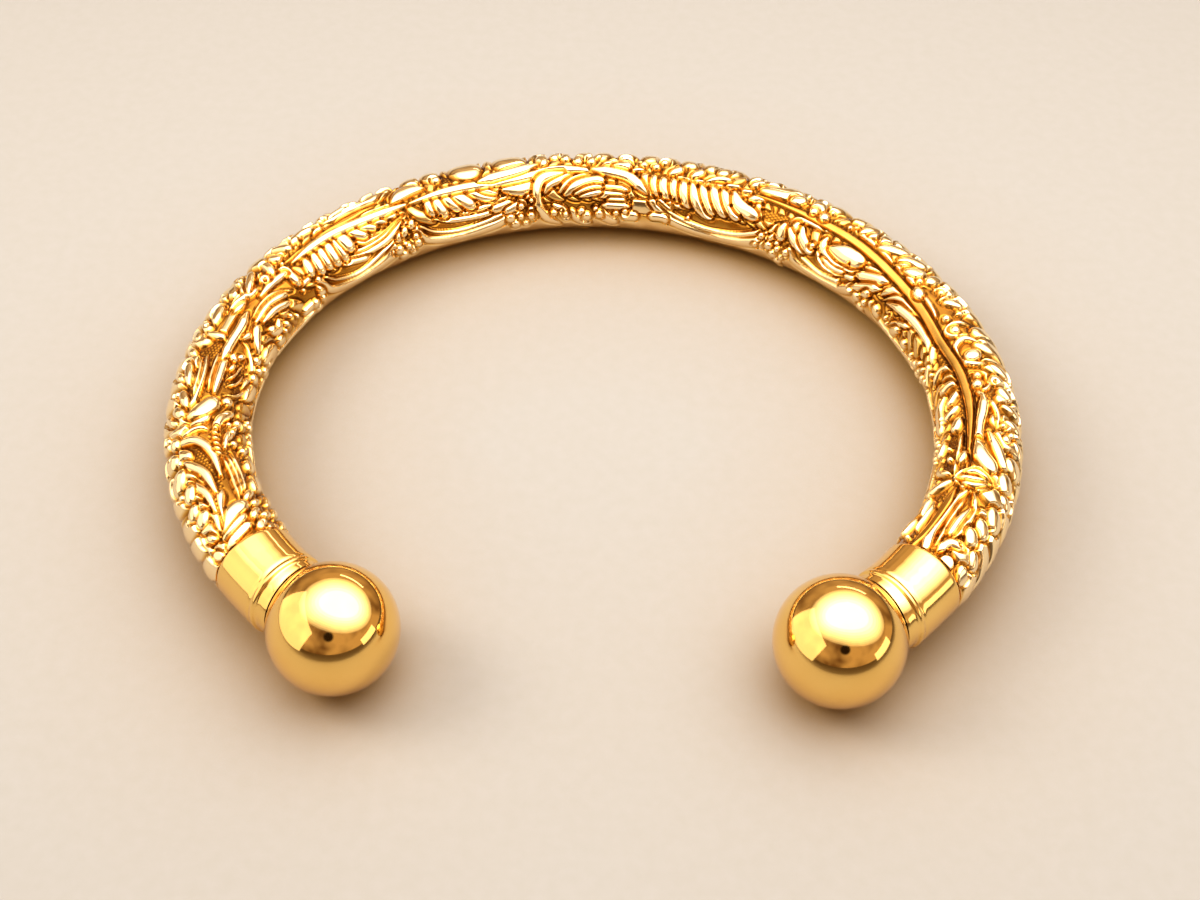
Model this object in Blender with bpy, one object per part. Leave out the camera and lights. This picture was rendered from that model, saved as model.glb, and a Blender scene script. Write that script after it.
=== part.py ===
"""Cuff bracelet: a cast round bar bent to an open C, with raised leaf ornament and a polished ball at each end.

Run it with: blender --background --python part.py
Metres, +Z up. The cuff lies flat as it would by itself: the back of the bar and both balls touch z = 0.
The opening faces -Y and the origin is the middle of the cuff's outer size, on the surface that it lies on.
"""
import math

import bmesh
import bpy
import numpy as np

MM = 0.001

# The ring: the bar's centre line is part of an ellipse
RING_HALF_WIDTH = 35.0 * MM
RING_HALF_DEPTH = 31.5 * MM

# The bar: its ground is a round rod, and the ornament stands proud of it
BAR_RADIUS = 3.42 * MM
RELIEF_HEIGHT = 0.54 * MM
HALF_BAR_LENGTH = 72.4 * MM
BAR_END_CHAMFER = 0.25 * MM

# The spigot at each end of the bar, which carries the collar and the ball
SPIGOT_RADIUS = 1.5 * MM
SPIGOT_LENGTH = 7.4 * MM

# The clearance that pieces keep where they fit together
FIT_GAP = 0.3 * MM

# The collar: a plain ferrule with a rounded shoulder, a groove and a thin neck ring
COLLAR_RADIUS = 3.75 * MM
COLLAR_PLAIN_LENGTH = 4.6 * MM
SHOULDER_ROUND = 0.4 * MM
GROOVE_DEPTH = 0.75 * MM
GROOVE_WIDTH = 0.25 * MM
NECK_RING_DEPTH = 0.45 * MM

# The ball: its centre lies on the same ellipse, this far past the end of the bar
BALL_RADIUS = 5.54 * MM
BALL_CENTRE_PAST_BAR = 10.2 * MM
SOCKET_CLEARANCE_DEPTH = 0.5 * MM

# The worn flats that the cuff rests on: a pad under the back of the bar and a facet under each ball
REST_FLAT_DEPTH = 0.1 * MM
REST_PAD_HALF_LENGTH = 5.0 * MM
REST_PAD_HALF_WIDTH = 1.0 * MM

# Fineness of the meshes
BAR_SIDES = 32
BAR_STEPS = 172
TURNED_SIDES = 32
BALL_ARC_STEPS = 16

# Ornament along the inner side, in panels: a leaf or scroll of lobes under the stem, held in a swag.
# Each row gives the panel's ends along the bar (from the middle of the back, + to the right), how many
# lobes it has, how much a lobe leans along the bar for each turn of the section, and its relief as a
# share of the full height.
PANEL_COLUMNS = ("start", "end", "lobes", "lean", "rise")
PANELS = (
    (-72.4 * MM, -62.5 * MM, 3, 5.0 * MM, 1.00),
    (-62.5 * MM, -54.5 * MM, 3, 4.0 * MM, 0.90),
    (-54.5 * MM, -45.5 * MM, 3, 4.0 * MM, 0.85),
    (-45.5 * MM, -35.5 * MM, 3, 2.0 * MM, 0.90),
    (-35.5 * MM, -23.0 * MM, 4, 4.0 * MM, 1.00),
    (-23.0 * MM, -9.0 * MM, 4, 4.0 * MM, 1.00),
    (-9.0 * MM, 5.0 * MM, 4, -4.0 * MM, 0.95),
    (5.0 * MM, 20.0 * MM, 4, 4.0 * MM, 1.00),
    (20.0 * MM, 33.5 * MM, 4, 3.0 * MM, 0.95),
    (33.5 * MM, 47.5 * MM, 4, 6.0 * MM, 0.90),
    (47.5 * MM, 57.5 * MM, 3, 3.0 * MM, 1.00),
    (57.5 * MM, 72.4 * MM, 4, 5.0 * MM, 0.85),
)

# The stem is a plain rib that runs along the crown of the bar, a little to its inner side
STEM_ANGLE = math.radians(-20.0)
STEM_HALF_WIDTH = 0.75 * MM

# The swag below each panel's lobes hangs from the stem side down to the middle of the inner side
SWAG_HIGH_ANGLE = math.radians(-52.0)
SWAG_LOW_ANGLE = math.radians(-90.0)
SWAG_HALF_WIDTH = 1.10 * MM
SWAG_RISE = 0.85

# Slanted gadroons, almond lobes side by side like a rope, cover the outer side
GADROON_PITCH = 3.30 * MM
GADROON_LEAN = 3.2 * MM
GADROON_TOP_ANGLE = math.radians(-8.0)

# A cluster of beads fills each corner between two swags
BEAD_ANGLE = math.radians(-84.0)
BEAD_RADIUS = 1.30 * MM
BEAD_RISE = 0.75


def ellipse_table(steps=4000):
    """The ring's centre line as matching arrays: distance along it from the back, and angle from the back."""
    angle = np.linspace(-math.pi * 0.9, math.pi * 0.9, steps)
    x = RING_HALF_WIDTH * np.sin(angle)
    y = RING_HALF_DEPTH * np.cos(angle)
    run = np.concatenate([[0.0], np.cumsum(np.hypot(np.diff(x), np.diff(y)))])
    return run - np.interp(0.0, angle, run), angle


RUN_TABLE, ANGLE_TABLE = ellipse_table()


def centre_line(run):
    """Point on the flat ring and its outward and forward directions, at a distance from the middle of the back."""
    angle = np.interp(run, RUN_TABLE, ANGLE_TABLE)
    point = np.array([RING_HALF_WIDTH * math.sin(angle), RING_HALF_DEPTH * math.cos(angle), 0.0])
    forward = np.array([RING_HALF_WIDTH * math.cos(angle), -RING_HALF_DEPTH * math.sin(angle), 0.0])
    forward /= np.linalg.norm(forward)
    outward = np.array([-forward[1], forward[0], 0.0])
    return point, outward, forward


BALL_RUN = HALF_BAR_LENGTH + BALL_CENTRE_PAST_BAR
BALL_POINT = centre_line(BALL_RUN)[0]
BAR_OUTER_RADIUS = BAR_RADIUS + RELIEF_HEIGHT

# The lie of the cuff: the balls are thicker than the bar, so the ring tips up a little toward the front
TIP_SINE = (BALL_RADIUS - BAR_OUTER_RADIUS) / (RING_HALF_DEPTH - BALL_POINT[1])
TIP_COSINE = math.sqrt(1.0 - TIP_SINE ** 2)
RING_CENTRE_HEIGHT = BAR_OUTER_RADIUS - REST_FLAT_DEPTH + RING_HALF_DEPTH * TIP_SINE
BACK_REACH = RING_HALF_DEPTH * TIP_COSINE + BAR_OUTER_RADIUS
FRONT_REACH = -BALL_POINT[1] * TIP_COSINE + BALL_RADIUS
RING_CENTRE_Y = (FRONT_REACH - BACK_REACH) / 2.0


def lay_down(point):
    """Turn a point of the flat ring to where it is when the cuff lies on the surface."""
    x, y, z = point
    return (
        x,
        y * TIP_COSINE + z * TIP_SINE + RING_CENTRE_Y,
        z * TIP_COSINE - y * TIP_SINE + RING_CENTRE_HEIGHT,
    )


def on_bar(run, radius, angle):
    """A point round the bar: angle 0 is the crown, + the outer side."""
    point, outward, _ = centre_line(run)
    across = radius * math.sin(angle)
    up = radius * math.cos(angle)
    return lay_down(point + outward * across + np.array([0.0, 0.0, up]))


def round_ridge(distance, half_width):
    """Height of a round ridge, from 1 on its line to 0 at its edge."""
    share = min(abs(distance) / half_width, 1.0)
    return math.cos(share * math.pi / 2.0)


def panel_relief(run, angle):
    """Leaf lobes and swag of the panel that holds this point of the inner side."""
    for row in PANELS:
        panel = dict(zip(PANEL_COLUMNS, row))
        if panel["start"] <= run <= panel["end"]:
            break
    else:
        return 0.0
    length = panel["end"] - panel["start"]
    along = (run - panel["start"]) / length
    swag_angle = SWAG_HIGH_ANGLE + (SWAG_LOW_ANGLE - SWAG_HIGH_ANGLE) * math.sin(along * math.pi)
    swag = SWAG_RISE * round_ridge((angle - swag_angle) * BAR_RADIUS, SWAG_HALF_WIDTH)
    lobe = 0.0
    if swag_angle < angle < STEM_ANGLE:
        slant = panel["lean"] * (angle - STEM_ANGLE) / math.tau * 4.0
        phase = (run + slant - panel["start"]) / length * panel["lobes"]
        edge = min((angle - swag_angle) * BAR_RADIUS / SWAG_HALF_WIDTH, 1.0)
        lobe = panel["rise"] * math.sin(phase * math.pi) ** 2 * edge
    return max(swag, lobe)


def gadroon_relief(run, angle):
    """Slanted almond lobes of the outer side."""
    if angle < GADROON_TOP_ANGLE:
        return 0.0
    phase = (run + GADROON_LEAN * angle / math.pi * 2.0) / GADROON_PITCH
    edge = min((angle - GADROON_TOP_ANGLE) * BAR_RADIUS / GADROON_PITCH * 2.0, 1.0)
    return math.sin(phase * math.pi) ** 2 * edge


def bead_relief(run, angle):
    """The bead cluster at each end of a panel."""
    height = 0.0
    for row in PANELS[1:]:
        start = row[PANEL_COLUMNS.index("start")]
        distance = math.hypot(run - start, (angle - BEAD_ANGLE) * BAR_RADIUS)
        height = max(height, BEAD_RISE * round_ridge(distance, BEAD_RADIUS))
    return height


def relief(run, angle):
    """Height of the ornament over the bar's ground. The underside repeats the upper side."""
    folded = math.remainder(angle, math.tau)
    if abs(folded) > math.pi / 2.0:
        folded = math.copysign(math.pi - abs(folded), folded)
    stem = round_ridge((folded - STEM_ANGLE) * BAR_RADIUS, STEM_HALF_WIDTH)
    return RELIEF_HEIGHT * max(stem, panel_relief(run, folded), gadroon_relief(run, folded), bead_relief(run, folded))


def make_object(name, mesh, material, collection):
    """Link a mesh to the cuff's collection, smooth where it is round."""
    mesh.materials.append(material)
    mesh.shade_smooth()
    mesh.set_sharp_from_angle(angle=math.radians(40.0))
    piece = bpy.data.objects.new(name, mesh)
    collection.objects.link(piece)
    return piece


def wrap_grid(name, rows, sides, place, dent=None):
    """Wrap a grid round a line of stations and weld its seams.

    Each row is a station and a radius. A first and last row that are the same close the grid on itself,
    and rows of no radius close its ends. dent gives the height that is added at a row and an angle.
    """
    form = bmesh.new()
    bmesh.ops.create_grid(form, x_segments=len(rows) - 1, y_segments=sides, size=1.0)
    for vert in form.verts:
        row = round((vert.co.x + 1.0) / 2.0 * (len(rows) - 1))
        side = round((vert.co.y + 1.0) / 2.0 * sides)
        station, radius = rows[row]
        angle = side / sides * math.tau
        added = dent(row, station, angle) if dent else 0.0
        vert.co = place(station, radius + added, angle)
    bmesh.ops.remove_doubles(form, verts=form.verts, dist=0.001 * MM)
    bmesh.ops.recalc_face_normals(form, faces=form.faces)
    mesh = bpy.data.meshes.new(name)
    form.to_mesh(mesh)
    form.free()
    return mesh


def make_hoop(material, collection):
    """The cast bar: spigot, relief from end to end, spigot."""
    end_rows = (
        (HALF_BAR_LENGTH + SPIGOT_LENGTH, 0.0),
        (HALF_BAR_LENGTH + SPIGOT_LENGTH, SPIGOT_RADIUS),
        (HALF_BAR_LENGTH, SPIGOT_RADIUS),
        (HALF_BAR_LENGTH, BAR_RADIUS - BAR_END_CHAMFER),
    )
    left = [(-station, radius) for station, radius in end_rows]
    right = list(reversed(end_rows))
    first = -HALF_BAR_LENGTH + BAR_END_CHAMFER
    length = -2.0 * first
    middle = [(first + length * step / BAR_STEPS, BAR_RADIUS) for step in range(BAR_STEPS + 1)]
    rows = left + middle + right

    def dent(row, station, angle):
        on_relief = len(left) <= row < len(left) + len(middle)
        return relief(station, angle) if on_relief else 0.0

    mesh = wrap_grid("hoop", rows, BAR_SIDES, on_bar, dent)
    pad_y = lay_down((0.0, RING_HALF_DEPTH, 0.0))[1]
    for vert in mesh.vertices:
        on_pad = abs(vert.co.x) < REST_PAD_HALF_LENGTH and abs(vert.co.y - pad_y) < REST_PAD_HALF_WIDTH
        if on_pad and vert.co.z < BAR_RADIUS:
            vert.co.z = 0.0
    return make_object("hoop", mesh, material, collection)


def collar_rows():
    """The collar's closed outline, as distance past the end of the bar and radius."""
    bore = SPIGOT_RADIUS + FIT_GAP
    start = FIT_GAP
    shoulder_end = COLLAR_PLAIN_LENGTH + SHOULDER_ROUND
    groove_radius = COLLAR_RADIUS - GROOVE_DEPTH
    ring_radius = COLLAR_RADIUS - NECK_RING_DEPTH
    seat = BALL_RADIUS + FIT_GAP
    ring_front = BALL_CENTRE_PAST_BAR - math.sqrt(seat ** 2 - ring_radius ** 2)
    bore_front = BALL_CENTRE_PAST_BAR - math.sqrt(seat ** 2 - bore ** 2)
    middle_radius = (ring_radius + bore) / 2.0
    middle_front = BALL_CENTRE_PAST_BAR - math.sqrt(seat ** 2 - middle_radius ** 2)
    corner = SHOULDER_ROUND * (1.0 - math.sqrt(0.5))
    edge = BAR_END_CHAMFER / 2.0
    return (
        (start, bore),
        (start, COLLAR_RADIUS - edge),
        (start + edge, COLLAR_RADIUS),
        (COLLAR_PLAIN_LENGTH, COLLAR_RADIUS),
        (shoulder_end - corner, COLLAR_RADIUS - corner),
        (shoulder_end, COLLAR_RADIUS - SHOULDER_ROUND),
        (shoulder_end, groove_radius),
        (shoulder_end + GROOVE_WIDTH, groove_radius),
        (shoulder_end + GROOVE_WIDTH, ring_radius),
        (max(ring_front, shoulder_end + GROOVE_WIDTH * 1.5), ring_radius),
        (middle_front, middle_radius),
        (bore_front, bore),
        (start, bore),
    )


def make_collar(name, side, material, collection):
    """A ferrule bent with the ring, on the bar's spigot. side is -1 for the left end and 1 for the right."""
    rows = [(side * (HALF_BAR_LENGTH + station), radius) for station, radius in collar_rows()]
    mesh = wrap_grid(name, rows, TURNED_SIDES, on_bar)
    return make_object(name, mesh, material, collection)


def ball_profile():
    """Half outline of the ball from its far pole to the floor of its socket, as distance and radius."""
    mouth = SPIGOT_RADIUS + FIT_GAP
    mouth_distance = math.sqrt(BALL_RADIUS ** 2 - mouth ** 2)
    socket_floor = BALL_CENTRE_PAST_BAR - SPIGOT_LENGTH - SOCKET_CLEARANCE_DEPTH
    last = math.pi - math.asin(mouth / BALL_RADIUS)
    points = []
    for step in range(BALL_ARC_STEPS + 1):
        turn = last * step / BALL_ARC_STEPS
        points.append((-BALL_RADIUS * math.cos(turn), BALL_RADIUS * math.sin(turn)))
    points[-1] = (mouth_distance, mouth)
    return points + [(socket_floor, mouth), (socket_floor, 0.0)]


def make_ball(name, side, material, collection):
    """A turned ball whose socket faces the collar, with the flat that it rests on."""
    centre = centre_line(side * BALL_RUN)[0]
    mouth_run = side * (BALL_RUN - BALL_RADIUS)
    toward_bar = centre_line(mouth_run)[0] - centre
    toward_bar /= np.linalg.norm(toward_bar)
    across = np.array([-toward_bar[1], toward_bar[0], 0.0])

    def place(distance, radius, angle):
        sideways = across * (radius * math.sin(angle))
        upward = np.array([0.0, 0.0, radius * math.cos(angle)])
        return lay_down(centre + toward_bar * distance + sideways + upward)

    mesh = wrap_grid(name, ball_profile(), TURNED_SIDES, place)
    form = bmesh.new()
    form.from_mesh(mesh)
    everything = form.verts[:] + form.edges[:] + form.faces[:]
    cut = bmesh.ops.bisect_plane(form, geom=everything, plane_co=(0, 0, 0), plane_no=(0, 0, 1), clear_inner=True)
    cut_edges = [item for item in cut["geom_cut"] if isinstance(item, bmesh.types.BMEdge)]
    bmesh.ops.contextual_create(form, geom=cut_edges)
    bmesh.ops.recalc_face_normals(form, faces=form.faces)
    form.to_mesh(mesh)
    form.free()
    return make_object(name, mesh, material, collection)


def gold(name, colour, roughness):
    """Bright yellow gold plate."""
    material = bpy.data.materials.new(name)
    material.use_nodes = True
    shader = material.node_tree.nodes["Principled BSDF"]
    shader.inputs["Base Color"].default_value = (*colour, 1.0)
    shader.inputs["Metallic"].default_value = 1.0
    shader.inputs["Roughness"].default_value = roughness
    return material


def main():
    for old in list(bpy.data.objects):
        bpy.data.objects.remove(old)
    collection = bpy.data.collections.new("cuff_bracelet")
    bpy.context.scene.collection.children.link(collection)
    cast_gold = gold("cast_gold", (1.0, 0.62, 0.20), 0.12)
    polished_gold = gold("polished_gold", (1.0, 0.60, 0.19), 0.05)
    make_hoop(cast_gold, collection)
    for label, side in (("left", -1), ("right", 1)):
        make_collar("collar_" + label, side, polished_gold, collection)
        make_ball("ball_" + label, side, polished_gold, collection)


main()
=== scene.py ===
"""Looks of the cuff bracelet: cast relief, turned collars, polished balls, a pale floor and soft light.

Lengths are in millimetres until a point is placed; Blender's scene is in metres.
"""
import math

import bpy
import numpy as np
from mathutils import Matrix


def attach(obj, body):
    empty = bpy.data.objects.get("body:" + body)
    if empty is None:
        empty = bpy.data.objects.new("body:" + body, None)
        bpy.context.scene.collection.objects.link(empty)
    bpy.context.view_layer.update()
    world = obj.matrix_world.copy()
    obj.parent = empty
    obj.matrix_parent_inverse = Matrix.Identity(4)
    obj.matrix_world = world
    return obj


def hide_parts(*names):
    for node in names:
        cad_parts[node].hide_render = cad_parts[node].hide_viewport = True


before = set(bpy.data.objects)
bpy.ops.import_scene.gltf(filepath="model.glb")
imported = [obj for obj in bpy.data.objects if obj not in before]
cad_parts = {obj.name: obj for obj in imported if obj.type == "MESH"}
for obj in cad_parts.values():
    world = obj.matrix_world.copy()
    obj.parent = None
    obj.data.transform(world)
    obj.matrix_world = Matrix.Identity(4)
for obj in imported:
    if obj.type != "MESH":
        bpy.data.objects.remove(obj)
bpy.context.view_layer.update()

MM = 0.001

# The ring and the bar, the same as in the part's source
RING_HALF_WIDTH = 35.0
RING_HALF_DEPTH = 31.5
HALF_BAR_LENGTH = 72.4
BAR_OUTER_RADIUS = 3.96
BALL_RADIUS = 5.54
BALL_CENTRE_PAST_BAR = 10.2
REST_FLAT_DEPTH = 0.1
SPIGOT_RADIUS = 1.5
# The polished pieces are burnished up to each other, so the seams show as fine lines
BURNISHED_EDGE = 0.10

# The cast surface: the ground that the ornament stands on, and the groove that outlines each form
GROUND_RADIUS = 3.44
TALLEST = 0.52
FINEST_RISE = 0.22
RISE_PER_HALF_WIDTH = 0.58
GROOVE_DEPTH = 0.26
GROOVE_WIDTH = 0.13

# Low on both sides the bar is plain and nearly full: the ground starts to rise at the first angle and is
# this much higher by the second
PLAIN_RISE = 0.32
INNER_PLAIN_ANGLES = (72.0, 112.0)
OUTER_PLAIN_ANGLES = (50.0, 88.0)

# The chart gives each form's bright top. The whole form is wider by these shares.
STEM_SPREAD = 1.60
STRAND_SPREAD = 2.00
LOBE_SPREAD = 2.00
ALMOND_SPREAD = 1.75
RIM_SPREAD = 2.80
BEAD_SPREAD = 1.22

# A form's cross-section: how full its body is, how round its back, a flat band's soft edge, and the least
# that a form is wide or high
FORM_FULLNESS = 3.0
FORM_ROUNDNESS = 0.6
BAND_EDGE = 0.26
THINNEST = 0.05

# Punched dots are 0.36 mm apart, coarser than real ones, so that they show
PUNCH_WAVE = 0.31
PUNCH_LEVEL = -0.06
PUNCH_RISE = 0.035

# Plates, pits, and the slight unevenness of a finished casting
PLATE_RISE = 0.30
PLATE_EDGE = 0.15
PIT_LEVEL = -0.22
PIT_RIM = 0.72
UNEVENNESS = 0.006

# The relief is worked out on a sheet that is wrapped on the bar, from low on its inner side over the
# crown to low on its outer side. The strip underneath repeats the sheet's edges.
SHEET_PITCH = 0.08
SHEET_REACH = 130.0
SHEET_ROWS = 191
SHEET_RADIUS = 3.7
# How far apart the points of a form's line are
LINE_SPACING = 0.07

# Ornament, charted one by one. Each row is a half width in mm and then the points of the form's line: mm
# along the bar from the middle of the back, + to the right, and degrees round it from its crown, + outward.

# The plain stem that wanders along the crown, and the smooth leaves that grow out of it
STEMS = (
    (.35, (-35.5, -14), (-33.0, -13), (-30.0, -13), (-25.0, -20), (-20.8, -22)),
    (.38, (-20.8, -22), (-17.0, -21), (-10.5, -24), (-7.0, -19), (-4.0, -12), (0.0, -17)),
    (.45, (-13.0, -17), (-9.0, -8), (-6.6, 4)),
    (.42, (-1.0, -12), (1.0, -17), (3.0, -25), (4.5, -42), (5.1, -50)),
    (.40, (-4.0, -18), (-6.2, -26), (-7.0, -45), (-6.9, -70), (-6.0, -95), (-4.6, -112)),
    (.36, (-50.2, -15), (-47.8, -18), (-45.5, -20), (-43.4, -16)),
)

# Plain flat bands, lower than the leaves: half width, height and then the points
BANDS = (
    (.62, .10, (16.5, -12), (22.0, -14), (28.0, -15), (34.5, -24), (40.0, -30), (44.5, -34), (48.8, -26),
     (52.9, -22), (57.5, -21), (61.6, -17)),
    (.55, .10, (64.2, -21), (68.0, -25), (72.8, -28)),
    (.46, .10, (-36.8, -4), (-33.0, -6), (-29.0, -2), (-24.0, 2)),
)

# Long thin strands: scroll stems, leaf edges and veins
STRANDS = (
    (.30, (-38.0, -90), (-36.0, -90)), (.18, (-37.0, -50), (-34.5, -50)), (.13, (-34.0, -3), (-30.5, -6)),
    (.20, (-31.5, -3), (-30.6, 8), (-30.0, -6)), (.13, (-29.0, -7), (-25.0, -10), (-21.5, -14)),
    (.20, (-28.5, -30), (-27.8, -43), (-26.5, -49), (-23.5, -50)),
    (.20, (-28.6, -42), (-27.0, -52), (-24.8, -53), (-22.0, -38)),
    (.20, (-29.9, -50), (-28.0, -60), (-25.0, -58), (-21.8, -40)),
    (.20, (-30.9, -57), (-28.5, -67), (-25.0, -64), (-22.5, -45)),
    (.20, (-31.2, -62), (-28.5, -73), (-27.2, -75)),
    (.30, (-29.5, 18), (-27.0, 8), (-24.5, 12), (-22.3, 28)), (.22, (-29.0, 22), (-26.0, 35)),
    (.30, (-33.4, 18), (-32.0, 27), (-30.5, 22)), (.30, (-34.9, 42), (-34.1, 8)),
    (.30, (-36.3, 18), (-35.9, 5)), (.28, (-15.6, -27), (-14.3, -45), (-10.8, -50)),
    (.20, (-16.9, -42), (-16.0, -57), (-14.0, -62), (-9.5, -50)),
    (.20, (-18.9, -60), (-16.5, -70), (-13.0, -72), (-10.5, -60)), (.28, (-12.3, -68), (-9.8, -60)),
    (.28, (-10.8, -75), (-9.0, -65)), (.15, (3.1, -15), (4.0, -10), (5.0, -16)),
    (.28, (-1.0, -45), (3.0, -47)), (.28, (-0.5, -55), (2.8, -58)), (.22, (0.7, -65), (2.9, -64)),
    (.25, (0.2, -74), (3.3, -74)), (.35, (2.7, -92), (4.1, -92)),
    (.28, (5.5, -88), (7.2, -88), (7.5, -97)), (.16, (6.2, -17), (11.0, -17), (16.0, -19), (17.6, -14)),
    (.15, (13.2, -13), (14.8, -8)), (.15, (15.0, -15), (16.5, -11)), (.20, (6.1, -50), (8.3, -70)),
    (.20, (7.2, -52), (9.0, -68)), (.20, (8.2, -60), (10.2, -65)), (.18, (24.8, -28), (27.1, -10)),
    (.16, (27.3, 2), (30.0, -2), (33.7, -10)), (.25, (17.4, -28), (17.5, -42), (18.0, -50)),
    (.18, (21.4, -42), (22.0, -29), (23.5, -26), (25.0, -28)),
    (.35, (25.9, -35), (25.9, -48), (27.0, -60), (29.0, -62), (31.0, -53)),
    (.20, (28.0, -38), (29.5, -30), (31.0, -26)), (.18, (29.0, -35), (30.5, -28)),
    (.22, (25.5, -62), (27.0, -75), (29.5, -76)), (.18, (26.3, -65), (28.0, -72), (30.0, -68)),
    (.28, (31.5, -42), (34.5, -38)), (.32, (31.0, -60), (33.0, -48), (34.7, -38)),
    (.28, (31.0, -82), (33.0, -65), (34.5, -55)), (.20, (29.8, -72), (31.0, -68)),
    (.22, (19.7, -75), (20.6, -65)), (.25, (18.8, -95), (19.6, -87)),
    (.28, (35.0, -60), (36.0, -40), (38.0, -33), (40.0, -36)),
    (.18, (35.5, -65), (37.0, -45), (39.5, -40), (44.0, -47)),
    (.28, (36.2, -63), (38.0, -55), (41.0, -50), (43.5, -50), (44.7, -58)),
    (.20, (37.7, -88), (39.0, -72), (40.5, -62)), (.32, (38.3, -97), (39.2, -82)),
    (.22, (44.0, -90), (44.8, -82)), (.18, (44.7, -95), (45.8, -80)), (.22, (35.6, -12), (37.0, -8)),
    (.24, (38.2, 20), (38.6, 23), (39.6, 22), (39.9, 12)),
    (.22, (53.5, -95), (57.0, -86), (61.0, -80), (64.5, -72)),
    (.20, (-57.2, 20), (-54.8, 10), (-52.4, 5), (-49.8, 8)), (.12, (-55.0, 16), (-52.2, 12), (-49.9, 16)),
    (.14, (-54.2, -6), (-51.4, -7), (-48.6, -10)), (.12, (-68.2, -20), (-64.8, -23), (-62.4, -19)),
    (.12, (-68.0, -27), (-65.0, -31), (-62.2, -26)), (.12, (-67.6, -34), (-64.6, -38), (-62.0, -33)),
    (.15, (-54.5, -30), (-54.1, -47), (-52.5, -63), (-50.3, -69), (-47.9, -48), (-47.0, -32)),
    (.11, (-53.3, -31), (-52.6, -44), (-50.8, -54)), (.11, (-52.5, -29), (-51.6, -39), (-49.8, -46)),
    (.15, (-43.7, -27), (-40.3, -28), (-37.8, -47)), (.14, (-43.5, 16), (-40.6, 10), (-38.0, 12)),
    (.18, (-72.6, 57), (-70.6, 55), (-69.0, 57)),
    (.16, (-60.2, 40), (-59.2, 22), (-59.0, 4), (-59.4, -10)),
    (.17, (43.6, 22), (43.3, 0), (43.9, -20), (44.8, -10), (44.9, 10)),
    (.21, (46.0, 24), (45.4, -2), (46.4, -20), (47.9, -19), (48.7, -3), (48.6, 20)),
    (.14, (49.6, -8), (50.0, 10), (51.4, 12), (52.2, -4), (51.4, -21), (50.1, -18), (49.6, -8)),
    (.30, (52.2, -7), (52.9, 0), (54.7, -3), (56.4, -8), (58.8, -8), (60.2, 0)),
    (.11, (62.6, 30), (63.8, 16), (64.5, -2), (64.1, -17), (63.3, -27), (62.2, -17), (61.7, 3),
     (62.6, 30)),
    (.18, (64.4, 5), (66.3, 16), (68.4, 17), (70.2, 11)), (.12, (65.0, 0), (68.0, -4), (72.0, 1)),
    (.20, (46.2, -29), (44.9, -37), (45.1, -50), (46.5, -62)),
    (.21, (49.9, -24), (48.4, -33), (48.0, -53), (49.0, -74)),
    (.10, (50.6, -28), (49.4, -38), (49.2, -58)), (.12, (57.0, -32), (60.0, -33), (63.0, -31)),
    (.12, (66.0, -34), (69.0, -31), (72.0, -32)), (.26, (70.2, 34), (70.6, 14), (72.0, 8)),
    (.16, (53.0, 8), (54.6, 18), (56.4, 20)),
)

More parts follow.
